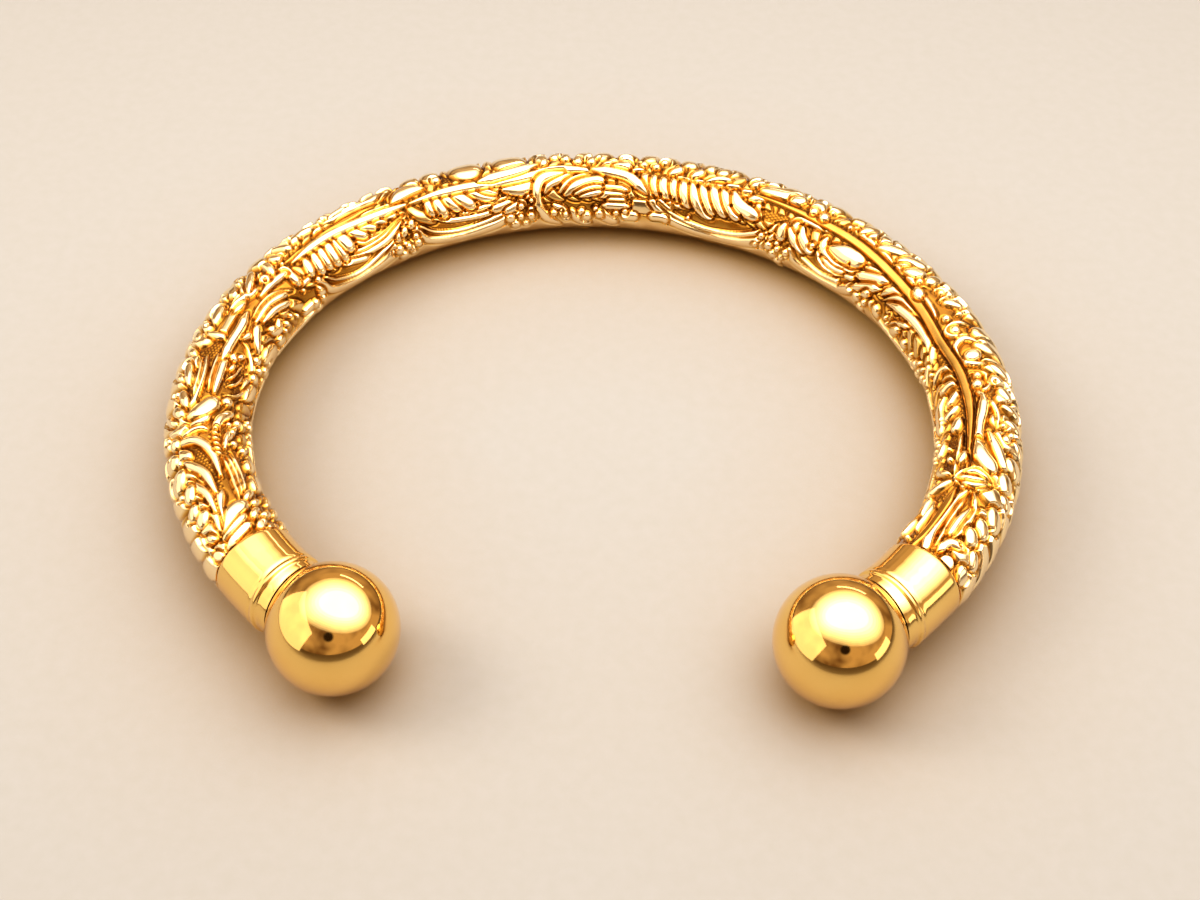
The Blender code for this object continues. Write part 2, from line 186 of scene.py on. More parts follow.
# Lobes: full round leaf fingers, narrow at the first point and full at the last
LOBES = (
    (.30, (-36.8, 0), (-36.8, -45)), (.60, (-51.0, -65), (-53.0, -80)), (.70, (-46.5, -86), (-44.6, -94)),
    (.35, (-41.7, -62), (-42.5, -72), (-43.4, -62)), (.35, (-42.2, -95), (-42.9, -88)),
    (.32, (-34.3, -22), (-34.8, -47)), (.38, (-33.1, -22), (-33.5, -54)),
    (.35, (-32.2, -20), (-32.4, -56)), (.38, (-31.2, -20), (-31.3, -58)),
    (.32, (-30.3, -22), (-30.2, -59)), (.42, (-29.5, -17), (-29.1, -48)),
    (.38, (-28.4, -22), (-26.9, -40)), (.35, (-27.2, -21), (-25.4, -36)),
    (.30, (-25.9, -21), (-24.0, -33)), (.28, (-24.6, -22), (-22.9, -31)),
    (.40, (-18.9, -25), (-18.8, -48)), (.40, (-18.1, -27), (-17.6, -57)),
    (.40, (-17.2, -27), (-15.9, -52)), (.38, (-16.2, -27), (-14.3, -55)),
    (.35, (-14.6, -27), (-13.0, -42), (-11.7, -45)), (.35, (-13.4, -27), (-11.3, -37)),
    (.30, (-12.3, -25), (-10.4, -34)), (.48, (-10.5, -38), (-8.5, -40), (-7.2, -34)),
    (.30, (-6.1, -50), (-5.3, -36), (-3.2, -24)), (.34, (-4.4, -50), (-3.4, -38), (-1.2, -27)),
    (.36, (-3.2, -84), (-2.6, -98), (-1.4, -112)), (.38, (-0.6, -80), (0.4, -94), (1.6, -108)),
    (.30, (-5.2, -72), (-4.2, -84), (-3.8, -100)), (.40, (-3.8, -55), (-2.5, -42), (0.0, -33)),
    (.25, (-2.8, -55), (-1.0, -47), (0.0, -45)), (.20, (-2.3, -60), (0.0, -52)),
    (.40, (-6.0, 36), (-6.0, 5)), (.30, (-4.7, 36), (-4.7, 20)), (.30, (-3.6, 36), (-3.6, 12)),
    (.30, (-2.4, 20), (-2.4, 3)), (.30, (-1.0, 15), (-1.0, 3)), (.48, (2.5, 20), (2.5, 3)),
    (.38, (0.2, -8), (1.7, 3)), (.38, (1.2, -12), (2.8, 0)), (.30, (7.3, -12), (8.2, 3)),
    (.30, (9.6, -10), (10.4, 5)), (.22, (11.2, -13), (12.3, -3), (13.4, 0)),
    (.48, (4.6, -20), (5.7, -45)), (.40, (5.6, -20), (6.4, -46)), (.42, (6.6, -22), (7.4, -48)),
    (.40, (7.7, -22), (8.6, -50)), (.45, (8.8, -24), (9.9, -57)),
    (.38, (9.8, -24), (10.9, -55), (12.4, -70)), (.35, (10.8, -24), (12.7, -62)),
    (.42, (12.0, -23), (14.0, -60)), (.40, (13.2, -24), (15.4, -60)),
    (.42, (14.4, -22), (15.4, -40), (17.4, -50)), (.30, (16.2, -25), (17.6, -15)),
    (.40, (12.9, 36), (12.3, 15)), (.32, (15.8, 3), (16.6, 15)), (.62, (17.1, 3), (19.2, 12), (19.9, 38)),
    (.42, (21.2, 18), (20.6, 0)), (.48, (22.8, 22), (23.0, 8)), (.35, (28.3, 5), (28.8, 40)),
    (.25, (29.3, 5), (29.9, 25)), (.42, (30.1, 38), (30.8, 15)), (.42, (31.0, 0), (33.1, 28)),
    (.45, (33.6, 3), (35.0, 35)), (.40, (33.9, -8), (36.0, 5)), (.28, (34.0, -10), (34.9, -20)),
    (.38, (20.9, -45), (20.9, -67)), (.35, (22.2, -35), (22.3, -50)),
    (.32, (21.6, -48), (22.5, -62), (24.0, -72)), (.32, (22.9, -38), (23.5, -55), (24.8, -68)),
    (.55, (27.0, -46), (30.5, -40)), (.28, (32.7, -84), (33.4, -72)), (.28, (32.6, -98), (33.3, -90)),
    (.40, (35.0, -5), (36.5, 12)), (.38, (37.2, 38), (37.3, 10)), (.38, (40.0, 5), (40.6, 35)),
    (.35, (-72.0, -62), (-70.6, -80)), (.35, (-70.0, -66), (-68.6, -84)),
    (.38, (-68.0, -72), (-66.4, -90)), (.26, (-72.3, 33), (-71.5, -9)), (.27, (-71.4, 30), (-70.4, -11)),
    (.42, (-70.6, 25), (-69.6, 4), (-68.9, -21)), (.26, (-70.2, 24), (-68.6, 13), (-66.9, 0)),
    (.23, (-70.4, 27), (-68.5, 22), (-66.7, 37)), (.25, (-68.6, 18), (-66.3, 19), (-64.3, 37)),
    (.28, (-66.7, 6), (-64.2, 11), (-62.3, 33)),
    (.26, (-65.0, -9), (-62.2, -7), (-60.4, 10), (-59.9, 36)),
    (.22, (-58.4, 17), (-58.2, 2), (-57.7, -9)), (.50, (-57.3, 18), (-56.7, 0), (-55.7, -17)),
    (.26, (-54.5, -15), (-52.2, -18), (-50.2, -19)), (.25, (-47.6, -14), (-47.4, 4), (-47.2, 19)),
    (.24, (-46.9, -22), (-46.5, -30), (-45.9, -38)), (.24, (-49.2, -20), (-49.4, -27), (-49.8, -32)),
    (.28, (-47.0, -63), (-45.8, -50), (-44.4, -40)), (.26, (-44.0, -35), (-41.4, -36), (-38.9, -43)),
    (.24, (-43.4, -44), (-41.2, -47), (-39.2, -56)), (.27, (-43.6, 10), (-42.3, 4), (-40.6, -6)),
    (.35, (-68.0, 30), (-68.6, 46)), (.32, (-66.8, 40), (-67.4, 54)), (.36, (-64.8, 34), (-65.8, 46)),
    (.50, (-62.8, 42), (-63.8, 62)), (.50, (-61.2, 48), (-61.0, 66)), (.34, (-57.4, 42), (-56.2, 58)),
    (.34, (-56.8, 30), (-56.0, 42)), (.30, (-55.9, 24), (-54.2, 33)), (.30, (-53.2, 26), (-50.8, 34)),
    (.28, (-52.4, 40), (-51.4, 54)), (.28, (-49.6, 30), (-48.8, 44)), (.36, (-45.6, 22), (-43.6, 30)),
    (.36, (-41.2, 13), (-39.2, 20)), (.32, (-47.6, 36), (-46.4, 52)), (.50, (-66.6, -55), (-64.9, -68)),
    (.34, (-63.2, -56), (-62.4, -70)), (.42, (-53.4, -68), (-51.2, -80)), (.27, (47.2, 14), (47.7, -3)),
    (.40, (47.3, 12), (47.7, -4)), (.44, (58.4, -9), (60.0, 0), (61.2, 20)),
    (.31, (57.2, 6), (58.8, 20), (60.5, 38)), (.17, (62.7, 22), (62.2, 0), (62.4, -13)),
    (.18, (62.9, 24), (63.1, 0), (63.2, -20)), (.17, (63.1, 20), (63.8, 2), (63.8, -13)),
    (.28, (-41.2, 2), (-39.8, 14), (-38.6, 26)), (.28, (-38.0, -10), (-37.5, 4), (-37.2, 18)),
    (.24, (-41.0, -17), (-39.0, -17), (-37.0, -20)), (.28, (-59.6, -14), (-57.8, -26), (-56.8, -42)),
    (.26, (-61.6, -26), (-60.2, -33), (-58.4, -46)), (.27, (-72.2, -18), (-71.6, -30)),
    (.27, (-70.8, -20), (-70.0, -32)), (.25, (-68.4, -26), (-67.4, -40)), (.32, (38.6, 8), (39.4, 30)),
    (.32, (40.4, 6), (41.0, 30)), (.24, (37.6, -16), (39.8, -17), (41.6, -22)),
    (.22, (66.4, 11), (68.0, 6), (69.8, 6)), (.30, (64.7, -4), (66.5, -15), (70.0, -17), (72.3, -8)),
    (.30, (53.5, 30), (53.8, 62)), (.30, (55.2, 34), (55.5, 64)), (.34, (57.0, 50), (57.6, 72)),
    (.40, (50.4, 20), (51.0, 33)), (.38, (51.6, 28), (52.2, 44)), (.32, (48.8, 26), (49.6, 52)),
    (.50, (59.3, 42), (59.8, 66)), (.48, (61.2, 38), (62.2, 52)), (.34, (63.2, 46), (63.5, 66)),
    (.48, (65.0, 40), (66.1, 58)), (.40, (66.8, 30), (67.7, 46)), (.38, (68.2, 24), (69.1, 38)),
    (.34, (69.6, 46), (70.4, 62)), (.34, (71.4, 46), (72.0, 62)),
    (.28, (50.6, -33), (50.4, -46), (50.8, -60)), (.24, (51.7, -26), (52.0, -38), (52.9, -52)),
    (.37, (51.4, -60), (52.6, -75), (55.4, -75)), (.26, (53.6, -38), (54.6, -60)),
    (.30, (55.2, -36), (56.6, -44)), (.26, (57.6, -62), (59.2, -70)), (.24, (62.6, -38), (62.2, -58)),
    (.29, (63.7, -32), (64.4, -48), (65.1, -63)), (.28, (65.6, -55), (68.2, -45)),
    (.24, (66.4, -42), (68.2, -38), (70.4, -38)), (.30, (68.6, -58), (70.6, -66)),
)

# Almonds: pointed at both ends
ALMONDS = (
    (.50, (-63.8, -58), (-62.2, -72)), (.35, (-34.9, -68), (-34.4, -98)),
    (.30, (-23.8, -74), (-22.9, -60)), (.28, (-23.0, -70), (-22.2, -55)),
    (.28, (-21.9, -62), (-21.3, -48)), (.55, (-22.5, -9), (-20.5, 4), (-18.6, 0)),
    (.45, (-29.5, 30), (-28.2, 42)), (.40, (37.3, -15), (38.9, -20)), (.40, (34.9, -80), (35.6, -98)),
    (.22, (31.7, -97), (31.9, -88)), (.24, (-44.3, 1), (-42.3, -6)), (.13, (-62.0, -10), (-62.6, -21)),
    (.13, (-61.4, -9), (-62.0, -22)), (.13, (-60.8, -9), (-61.3, -22)), (.13, (-60.2, -9), (-60.6, -22)),
    (.13, (-59.6, -10), (-59.9, -22)), (.13, (-59.0, -12), (-59.2, -22)),
    (.20, (-51.4, -29), (-50.2, -36)), (.24, (-49.4, -36), (-48.6, -44)),
    (.26, (-72.3, -30), (-72.3, -50)), (.28, (-70.7, -32), (-70.5, -53)),
    (.28, (-69.2, -30), (-68.6, -45)), (.30, (-72.4, 44), (-71.6, 56)), (.28, (-70.8, 38), (-70.0, 50)),
    (.22, (-45.2, 42), (-44.6, 58)), (.26, (-42.4, 32), (-41.6, 50)), (.26, (-39.8, 32), (-39.0, 50)),
    (.20, (42.0, 28), (42.2, 8)), (.26, (59.6, -22), (61.4, -27)),
)

# The thin rims of the swags that hold each leaf, wider at their right-hand end
SWAG_RIMS = (
    (.30, (-34.4, -62), (-33.0, -92), (-29.0, -109), (-25.0, -96), (-22.4, -52)),
    (.13, (-33.5, -64), (-32.0, -81), (-29.0, -93), (-26.0, -80), (-23.2, -58)),
    (.28, (-21.4, -62), (-19.8, -92), (-16.0, -107), (-12.0, -96), (-8.9, -66)),
    (.12, (-20.6, -64), (-18.8, -82), (-15.8, -91), (-12.4, -83), (-9.8, -66)),
    (.30, (5.8, -62), (7.6, -88), (11.5, -108), (15.8, -104), (19.0, -84), (20.4, -58)),
    (.13, (6.6, -62), (8.8, -82), (12.0, -94), (15.4, -90), (18.4, -72)),
    (.28, (22.3, -82), (23.4, -100), (26.6, -110), (29.4, -102), (31.4, -82)),
    (.13, (24.0, -84), (26.5, -95), (29.0, -90)),
    (.26, (-68.5, -66), (-65.8, -94), (-61.5, -104), (-58.2, -84)),
    (.24, (-56.8, -74), (-54.4, -100), (-50.0, -112), (-46.2, -100)),
    (.26, (46.2, -70), (48.0, -96), (51.5, -108), (55.0, -96)),
    (.26, (59.5, -76), (62.5, -98), (66.0, -106), (70.0, -96)),
    (.26, (34.2, -84), (36.4, -104), (40.0, -112), (43.6, -106)),
    (.24, (-45.0, -98), (-42.0, -112), (-38.0, -112), (-35.6, -98)),
)

# Beads and bosses: mm along, degrees round, radius in mm
BEADS = (
    (-47.9, -67, .50), (-50.0, -75, .55), (-48.5, -80, .40), (-41.0, -78, .40), (-40.0, -73, .30),
    (-39.1, -83, .30), (-41.5, -85, .30), (-36.3, -5, .25), (-36.8, -58, .25), (-22.8, -84, .40),
    (-21.4, -76, .40), (-22.0, -93, .70), (-23.9, -93, .30), (-24.4, -88, .25), (-17.1, 8, .50),
    (-8.9, -69, .40), (-7.8, -77, .42), (-7.8, -89, .65), (-9.1, -90, .38), (-10.1, -96, .40),
    (-8.0, -55, .30), (-7.7, -61, .30), (-5.2, -86, .40), (-4.4, -82, .20), (-2.1, -86, .45),
    (-0.5, -81, .35), (-1.5, -96, .55), (-0.1, -91, .50), (-3.9, -91, .35), (4.4, 3, .42), (6.4, 17, .45),
    (5.7, 0, .42), (1.8, -87, .35), (2.8, -83, .35), (10.0, -80, .28), (24.5, 12, .30), (22.9, -4, .50),
    (24.2, -6, .55), (27.1, 0, .30), (24.8, -57, .35), (18.7, -76, .40), (19.2, -68, .20),
    (20.7, -79, .35), (20.0, -85, .30), (18.1, -96, .35), (21.2, -88, .32), (21.9, -95, .38),
    (31.9, -91, .28), (40.8, -92, .55), (36.9, -2, .35), (39.1, 13, .35), (37.2, -92, .35),
    (36.9, -84, .28), (42.6, -92, .35), (46.8, -92, .40), (47.9, -96, .30), (57.0, -80, .38),
    (57.8, -88, .45), (59.2, -84, .35), (-56.2, -80, .40), (-57.3, -86, .45), (-58.2, -92, .35),
    (-59.6, 46, .62), (-55.4, -35, .53), (-38.9, -3, .56), (-61.4, -56, .42), (-60.9, -41, .38),
    (-59.3, -42, .34), (-58.4, -37, .30), (-57.8, -52, .44), (-64.9, 57, .34), (-58.5, 60, .34),
    (-54.0, 44, .34), (44.1, -6, .50), (42.4, -8, .42), (50.2, -2, .38), (51.3, -5, .52), (57.3, 33, .45),
    (55.9, 27, .30), (56.5, 42, .34), (72.3, 27, .66), (60.6, -44, .34), (59.0, -50, .28),
    (71.6, -44, .30), (47.4, -70, .30),
)

# Bead clusters low on the inner side: middle along the bar, middle angle, beads across, rows, radius in mm
BEAD_CLUSTERS = (
    (-22.4, -106, 3, 2, .54), (-9.0, -104, 3, 2, .54), (20.8, -104, 3, 3, .50), (32.6, -110, 2, 2, .56),
    (-35.2, -110, 2, 2, .54), (44.8, -112, 3, 2, .50), (-46.6, -114, 2, 2, .54), (57.2, -104, 3, 2, .50),
    (-57.4, -104, 3, 2, .52), (70.4, -108, 2, 2, .50), (-70.6, -106, 2, 2, .52),
)

# In a cluster, bead radii from bead to bead, the rows' spacing as a share of that, and how much smaller
# the smallest beads are
CLUSTER_PITCH = 2.2
CLUSTER_ROW_SHARE = 0.88
CLUSTER_SIZE_RANGE = 0.30

# Pierced eyes and deep pits: mm along, degrees round, radius in mm
PITS = (
    (-25.3, -42, .28), (-32.4, 15, .26), (-20.2, -13, .20), (-18.1, -58, .20), (-15.2, -60, .20),
    (-9.3, -55, .28), (-11.0, -39, .18), (-0.3, 15, .28), (16.4, -31, .28), (14.5, -44, .18),
    (15.9, -55, .20), (8.2, -54, .20), (6.6, -49, .18), (8.9, 8, .30), (5.4, -8, .20), (27.0, 15, .50),
    (25.6, -1, .22), (39.4, -91, .20), (37.2, -75, .24), (38.9, -16, .18), (-60.4, -66, .20),
    (-29.0, 28, .22), (34.4, -50, .20), (29.7, -52, .22), (-39.1, -6, .22), (-42.0, -4, .18),
    (-56.4, -37, .18), (-60.6, 58, .24), (-58.8, 52, .20), (-57.6, 36, .20), (-46.0, 32, .18),
    (50.9, 22, .20), (54.5, 26, .24), (56.3, 30, .18), (58.5, 40, .20), (60.6, 52, .24), (62.6, 60, .22),
    (64.4, 50, .22), (66.6, 50, .20), (68.4, 44, .20), (70.2, 26, .20), (46.7, -40, .20),
    (52.2, -58, .20), (54.0, -66, .20), (61.0, -52, .22), (63.4, -62, .20),
)

# Punched ground between the forms: start and end along the bar, lowest and highest angle
PUNCHED_GROUND = (
    (-67.6, -65.4, -6, 24), (-65.4, -62.6, -4, 28), (-62.8, -60.6, 4, 32), (-50.4, -48.0, -7, 20),
    (-53.4, -49.6, -58, -30), (-17.0, -13.5, -3, 20), (17.8, 21.2, -50, -32), (45.2, 48.0, -46, -30),
    (52.2, 56.4, 0, 27), (52.6, 62.0, -36, -22), (64.8, 72.2, -38, -24), (57.6, 61.8, -60, -40),
)

# Raised plain plates: start and end along the bar, lowest and highest angle
PLATES = ((-46.9, -43.9, -7, 8), (3.5, 6.3, -86, -60))

# Broad smooth shields and crescents on the outer side: half width and then the points
SHIELDS = (
    (.95, (-13.8, 52), (-13.8, 12)), (.95, (-9.3, 52), (-9.3, 12)),
    (.46, (-30.6, 34), (-28.0, 16), (-24.6, 13), (-22.0, 28)), (.55, (-35.4, 40), (-33.6, 24)),
    (.62, (16.6, 44), (18.0, 14), (20.6, 10), (21.6, 30)), (.50, (8.6, 46), (9.0, 20)),
    (.50, (11.0, 46), (11.2, 22)),
)

# Slanted gadroons fill the outer side below the charted forms. Their places, widths and tops vary a little.
GADROON_PITCH = 2.2
GADROON_HALF_WIDTH = 1.18
GADROON_TOP_ANGLE = 24.0
GADROON_FOOT_ANGLE = 112.0
GADROON_LEAN = 1.8
GADROON_PLACE_VARIES = 0.15
GADROON_WIDTH_VARIES = 0.12
GADROON_TOP_VARIES = 7.0

# A bed of low leaf fingers fills what the charted forms leave free. Each row: the angles where its fingers
# start and end, how far they lean along the bar, and its stretch of each arm, from the back, in mm.
BED_PITCH = 1.45
BED_HALF_WIDTH = 0.74
BED_RISE = 0.24
BED_ROWS = (
    (-96.0, -60.0, -1.4, 37.0, 72.4),
    (-22.0, -62.0, 2.4, 0.0, 37.0),
    (-12.0, 26.0, 1.6, 0.0, 37.0),
)

# The relief runs down to the collar's own radius at each end of the bar
END_RADIUS = 3.70
END_SLOPE_LENGTH = 1.3

# The end face and the spigot inside the collar: mm past the relief's end, and radius in mm
END_RINGS = ((0.0, 3.1), (0.0, SPIGOT_RADIUS), (3.0, SPIGOT_RADIUS), (3.0, 0.05))

# The bar is made in this many stretches, so that no mesh grows too big
HOOP_STRETCHES = 5

# The parting line underneath is filed smooth over this many degrees on each side
FILED_ANGLE = 8.0


def ellipse_table():
    """The ring's centre line: distance along it from the middle of the back, and angle from the back."""
    angle = np.linspace(-math.pi * 0.9, math.pi * 0.9, 4000)
    x = RING_HALF_WIDTH * np.sin(angle)
    y = RING_HALF_DEPTH * np.cos(angle)
    run = np.concatenate([[0.0], np.cumsum(np.hypot(np.diff(x), np.diff(y)))])
    return run - np.interp(0.0, angle, run), angle


RUN_TABLE, ANGLE_TABLE = ellipse_table()


def centre_line(run):
    """Points on the flat ring and its outward direction there, at distances from the middle of the back."""
    angle = np.interp(run, RUN_TABLE, ANGLE_TABLE)
    point = np.stack([RING_HALF_WIDTH * np.sin(angle), RING_HALF_DEPTH * np.cos(angle)], axis=-1)
    forward = np.stack([RING_HALF_WIDTH * np.cos(angle), -RING_HALF_DEPTH * np.sin(angle)], axis=-1)
    forward = forward / np.linalg.norm(forward, axis=-1, keepdims=True)
    outward = np.stack([-forward[..., 1], forward[..., 0]], axis=-1)
    return point, outward


BALL_RUN = HALF_BAR_LENGTH + BALL_CENTRE_PAST_BAR
BALL_DEPTH = -centre_line(BALL_RUN)[0][1]
TIP_SINE = (BALL_RADIUS - BAR_OUTER_RADIUS) / (RING_HALF_DEPTH + BALL_DEPTH)
TIP_COSINE = math.sqrt(1.0 - TIP_SINE ** 2)
RING_CENTRE_HEIGHT = BAR_OUTER_RADIUS - REST_FLAT_DEPTH + RING_HALF_DEPTH * TIP_SINE
BACK_REACH = RING_HALF_DEPTH * TIP_COSINE + BAR_OUTER_RADIUS
FRONT_REACH = BALL_DEPTH * TIP_COSINE + BALL_RADIUS
RING_CENTRE_Y = (FRONT_REACH - BACK_REACH) / 2.0


def lay_down(x, y, z):
    """Turn points of the flat ring to where they are when the cuff lies on the floor."""
    laid_y = y * TIP_COSINE + z * TIP_SINE + RING_CENTRE_Y
    laid_z = z * TIP_COSINE - y * TIP_SINE + RING_CENTRE_HEIGHT
    return np.stack([x, laid_y, np.maximum(laid_z, 0.0)], axis=-1)


def on_bar(run, radius, angle):
    """Points round the bar at matching arrays of run, radius and angle in radians."""
    point, outward = centre_line(run)
    across = radius * np.sin(angle)
    x = point[..., 0] + outward[..., 0] * across
    y = point[..., 1] + outward[..., 1] * across
    return lay_down(x, y, radius * np.cos(angle))


# The sheet's own coordinates, both in mm
RELIEF_END = HALF_BAR_LENGTH + BURNISHED_EDGE
sheet_run = np.linspace(-RELIEF_END, RELIEF_END, round(2 * RELIEF_END / SHEET_PITCH) + 1)
sheet_angle = np.linspace(-SHEET_REACH, SHEET_REACH, SHEET_ROWS)
sheet_round = np.radians(sheet_angle) * SHEET_RADIUS
relief = np.zeros((SHEET_ROWS, len(sheet_run)))


def ease(share):
    """Go over smoothly from 0 to 1 while the share does."""
    share = np.clip(share, 0.0, 1.0)
    return share ** 2 * (3.0 - 2.0 * share)


def plain_rise(angle):
    """How much higher the ground is at an angle than on the crown."""
    inner_start, inner_end = INNER_PLAIN_ANGLES
    outer_start, outer_end = OUTER_PLAIN_ANGLES
    inner = (-angle - inner_start) / (inner_end - inner_start)
    outer = (angle - outer_start) / (outer_end - outer_start)
    return PLAIN_RISE * ease(np.maximum(inner, outer))


def mm_round(angle):
    """Millimetres round the sheet from the crown at an angle in degrees."""
    return math.radians(angle) * SHEET_RADIUS


def smooth_line(points):
    """Evenly spaced points on a smooth curve through the charted ones, in mm along and mm round."""
    knots = np.array([(run, mm_round(angle)) for run, angle in points])
    if len(knots) > 2:
        padded = np.vstack([2 * knots[0] - knots[1], knots, 2 * knots[-1] - knots[-2]])
        steps = np.linspace(0.0, 1.0, 24, endpoint=False)[:, None]
        stretches = []
        for before, start, end, after in zip(padded, padded[1:], padded[2:], padded[3:]):
            bend = (2 * before - 5 * start + 4 * end - after) * steps ** 2
            twist = (3 * start - before - 3 * end + after) * steps ** 3
            stretches.append((2 * start + (end - before) * steps + bend + twist) / 2.0)
        knots = np.vstack(stretches + [knots[-1:]])
    length = np.concatenate([[0.0], np.cumsum(np.hypot(*np.diff(knots, axis=0).T))])
    even = np.linspace(0.0, length[-1], max(int(length[-1] / LINE_SPACING), 3))
    line = np.stack([np.interp(even, length, knots[:, 0]), np.interp(even, length, knots[:, 1])], axis=1)
    return line, even / max(length[-1], 1e-6)


def sheet_window(low_run, high_run, low_round, high_round):
    """The rows and columns of the sheet between these limits in mm."""
    columns = slice(*np.searchsorted(sheet_run, (low_run, high_run)))
    rows = slice(*np.searchsorted(sheet_round, (low_round, high_round)))
    return rows, columns


def press(line, half_widths, rise, flat=False):
    """Raise a round-backed form, or a flat band, along a line, and cut the groove that outlines it."""
    reach = half_widths.max() + GROOVE_WIDTH
    low = line.min(axis=0) - reach
    high = line.max(axis=0) + reach
    rows, columns = sheet_window(low[0], high[0], low[1], high[1])
    along = sheet_run[columns][None, :, None] - line[:, 0]
    around = sheet_round[rows][:, None, None] - line[:, 1]
    distance = np.sqrt(along ** 2 + around ** 2)
    if distance.size == 0:
        return
    if flat:
        crown = ease((half_widths - distance) / BAND_EDGE)
    else:
        back = np.clip(1.0 - (distance / half_widths) ** FORM_FULLNESS, 0.0, None)
        crown = back ** FORM_ROUNDNESS * (half_widths / half_widths.max()) ** 0.5
    outside = (distance - half_widths).min(axis=2) / GROOVE_WIDTH
    old = relief[rows, columns]
    foot = plain_rise(sheet_angle[rows])[:, None] - GROOVE_DEPTH
    form = foot + np.maximum(rise - foot, THINNEST) * crown.max(axis=2)
    carved = np.minimum(old, foot + (old - foot) * ease(outside))
    relief[rows, columns] = np.where(outside <= 0.0, form, carved)


def rise_of(half_width):
    """How far a form stands up: wide forms reach the full height, fine ones a little less."""
    return min(TALLEST, FINEST_RISE + RISE_PER_HALF_WIDTH * half_width)


def press_row(row, taper, spread=1.0):
    """Press one charted row, its half width tapered along the line."""
    half_width, *points = row
    line, along = smooth_line(points)
    press(line, np.maximum(half_width * spread * taper(along), THINNEST), rise_of(half_width * spread))


def lobe_taper(along):
    """Narrow root, full body, rounded tip."""
    body = 0.50 + 0.50 * np.sin(np.clip(along / 0.55, 0.0, 1.0) * math.pi / 2.0)
    return body * np.where(along > 0.8, 1.0 - 0.3 * ((along - 0.8) / 0.2) ** 2, 1.0)


def almond_taper(along):
    """Pointed at both ends."""
    return 0.25 + 0.75 * np.sin(along * math.pi)


def strand_taper(along):
    """Even along most of its length, with drawn-out ends."""
    return 0.4 + 0.6 * np.clip(5.0 * np.minimum(along, 1.0 - along), 0.0, 1.0)


def rim_taper(along):
    """A swag's rim: fine at the left and thick at the right."""
    return 0.65 + 0.35 * along


def punch_ground(start, end, low_angle, high_angle):
    """Fine punched dots, like a honeycomb."""
    rows, columns = sheet_window(start, end, mm_round(low_angle), mm_round(high_angle))
    along = sheet_run[columns][None, :]
    around = sheet_round[rows][:, None]
    dots = np.zeros(np.broadcast(along, around).shape)
    for turn in (0.0, math.tau / 3.0, math.tau * 2.0 / 3.0):
        dots += np.cos((along * math.cos(turn) + around * math.sin(turn)) * math.tau / PUNCH_WAVE)
    relief[rows, columns] = PUNCH_LEVEL + PUNCH_RISE * dots


def raise_plate(start, end, low_angle, high_angle):
    """A plain plate with soft edges and a groove round it."""
    low = mm_round(low_angle)
    high = mm_round(high_angle)
    rows, columns = sheet_window(start - GROOVE_WIDTH, end + GROOVE_WIDTH,
                                 low - GROOVE_WIDTH, high + GROOVE_WIDTH)
    along = sheet_run[columns][None, :]
    around = sheet_round[rows][:, None]
    inside = np.minimum(np.minimum(along - start, end - along), np.minimum(around - low, high - around))
    relief[rows, columns] = np.clip(inside / PLATE_EDGE, -GROOVE_DEPTH / PLATE_RISE, 1.0) * PLATE_RISE


def sink_pit(run, angle, radius):
    """A deep round pit with soft sides."""
    around = mm_round(angle)
    rows, columns = sheet_window(run - radius, run + radius, around - radius, around + radius)
    distance = np.hypot(sheet_run[columns][None, :] - run, sheet_round[rows][:, None] - around)
    share = np.clip(distance / radius, 0.0, 1.0)
    relief[rows, columns] = np.minimum(relief[rows, columns], PIT_LEVEL + PIT_RIM * share ** 3)


def press_band(row):
    """Press one plain band: flat across, with soft edges."""
    half_width, rise, *points = row
    line, along = smooth_line(points)
    press(line, half_width * strand_taper(along), rise, flat=True)


def press_leaf_bed():
    """Broad low leaf fingers side by side from end to end."""
    for start_angle, end_angle, lean, nearest, farthest in BED_ROWS:
        for step in range(int(2 * farthest / BED_PITCH) + 1):
            run = -farthest + step * BED_PITCH + 0.2 * math.sin(step * 1.9 + start_angle)
            if abs(run) < nearest:
                continue
            middle = (run + lean * 0.3, start_angle + (end_angle - start_angle) * 0.55)
            line, along = smooth_line(((run, start_angle), middle, (run + lean, end_angle)))
            press(line, BED_HALF_WIDTH * lobe_taper(along), BED_RISE)


def press_gadroons():
    """Slanted gadroons from end to end on the outer side, each a little different from the next."""
    count = int(2 * HALF_BAR_LENGTH / GADROON_PITCH)
    for step in range(count + 1):
        vary = math.sin(step * 2.4)
        run = -HALF_BAR_LENGTH + (step + GADROON_PLACE_VARIES * vary) * GADROON_PITCH
        top = GADROON_TOP_ANGLE + GADROON_TOP_VARIES * math.sin(step * 1.7)
        foot = (run + GADROON_LEAN, GADROON_FOOT_ANGLE)
        middle = (run + GADROON_LEAN * 0.35, (top + GADROON_FOOT_ANGLE) / 2.0)
        half_width = GADROON_HALF_WIDTH * (1.0 + GADROON_WIDTH_VARIES * vary)
        press_row((half_width, foot, middle, (run, top)), lobe_taper)


def press_bead(run, angle, radius):
    """One round bead."""
    full = radius * BEAD_SPREAD
    press(np.array([[run, mm_round(angle)]]), np.array([full]), rise_of(full))


def press_cluster(run, angle, across, deep, radius):
    """A tight cluster of beads that narrows downward, like grapes, with a few of them smaller."""
    pitch = radius * CLUSTER_PITCH
    step_angle = math.degrees(pitch * CLUSTER_ROW_SHARE / SHEET_RADIUS)
    for row in range(deep):
        count = max(across - row, 1)
        for number in range(count):
            along = run + (number - (count - 1) / 2.0) * pitch
            size = radius * (1.0 - CLUSTER_SIZE_RANGE * ((number * 2 + row * 3) % 3) / 2.0)
            press_bead(along, angle + (1 - row) * step_angle, size)


